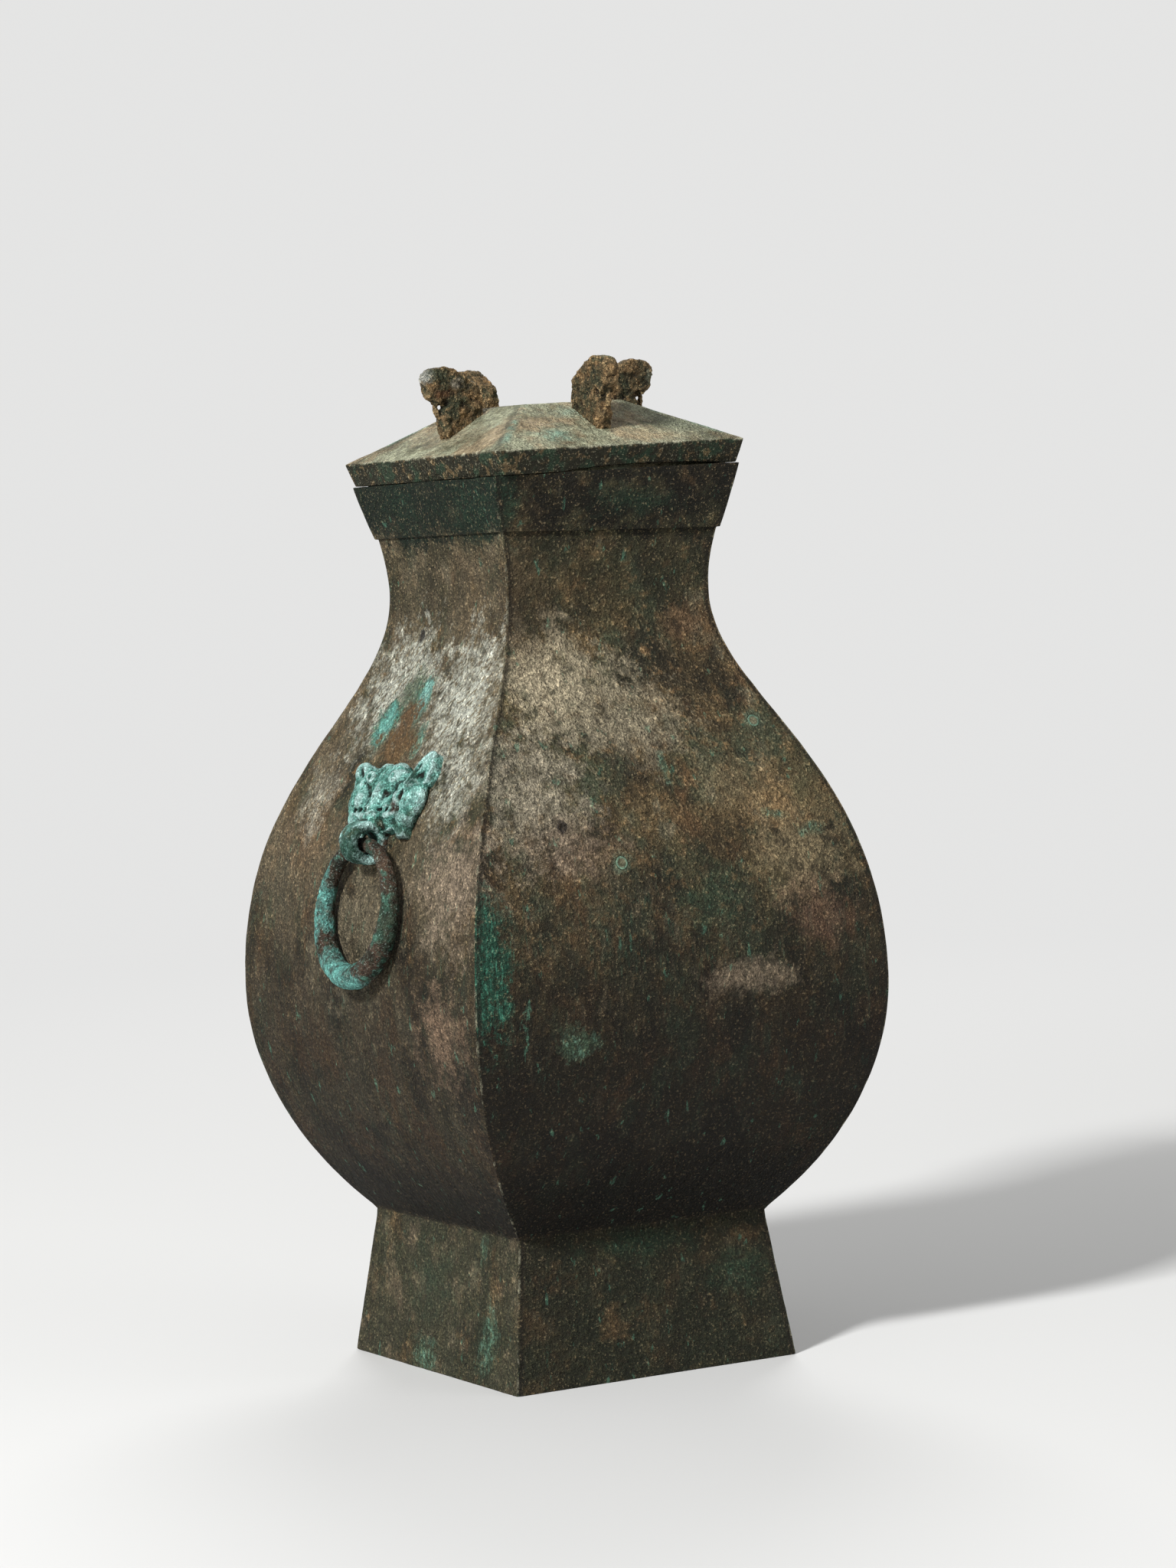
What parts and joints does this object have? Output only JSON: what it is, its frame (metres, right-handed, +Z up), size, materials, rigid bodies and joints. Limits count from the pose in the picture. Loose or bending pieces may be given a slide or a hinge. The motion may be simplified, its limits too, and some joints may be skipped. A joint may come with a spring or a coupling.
{
  "type": "bronze lidded vessel",
  "caption": "Square-section bronze wine vessel with a lift-off hipped lid with bird finials, a splayed hollow foot and hanging ring handles on beast masks.",
  "frame": {"origin": "middle of the foot's underside, on the surface that the vessel stands on", "axes": "+Z up; the ring handles are on the -X and +X faces and the plain faces look along -Y and +Y"},
  "size_m": [0.243, 0.2188, 0.4529],
  "materials": {
    "body_bronze": "brown, olive and green mottled excavated patina, rough",
    "lid_bronze": "sage green patina with sandy earth, rough",
    "finial_bronze": "thick tan earth crust over dark bronze",
    "mask_bronze": "pale turquoise malachite crust",
    "ring_bronze": "dark bronze with turquoise crust",
    "chaplet_bronze": "grey-green patina"
  },
  "bodies": {
    "vessel": {"vessel_body": "body_bronze", "mask_left": "mask_bronze", "mask_right": "mask_bronze", "chaplet_front_low": "chaplet_bronze", "chaplet_front_high": "chaplet_bronze", "chaplet_back_low": "chaplet_bronze", "chaplet_back_high": "chaplet_bronze"},
    "lid": {"lid_plate": "lid_bronze", "finial_left": "finial_bronze", "finial_front": "finial_bronze", "finial_right": "finial_bronze", "finial_back": "finial_bronze"},
    "ring_left": {"ring_left": "ring_bronze"},
    "ring_right": {"ring_right": "ring_bronze"}
  },
  "joints": [
    {"name": "lid_lift", "type": "slide", "parent": "vessel", "child": "lid", "axis": [0, 0, 1], "range_m": [0, 0.15]},
    {"name": "ring_left_swing", "type": "hinge", "parent": "vessel", "child": "ring_left", "pos_m": [-0.1064, -0.0135, 0.2403], "axis": [0, 1, 0], "range_deg": [0, 150]},
    {"name": "ring_right_swing", "type": "hinge", "parent": "vessel", "child": "ring_right", "pos_m": [0.1064, 0.0135, 0.2403], "axis": [0, -1, 0], "range_deg": [0, 150]}
  ]
}
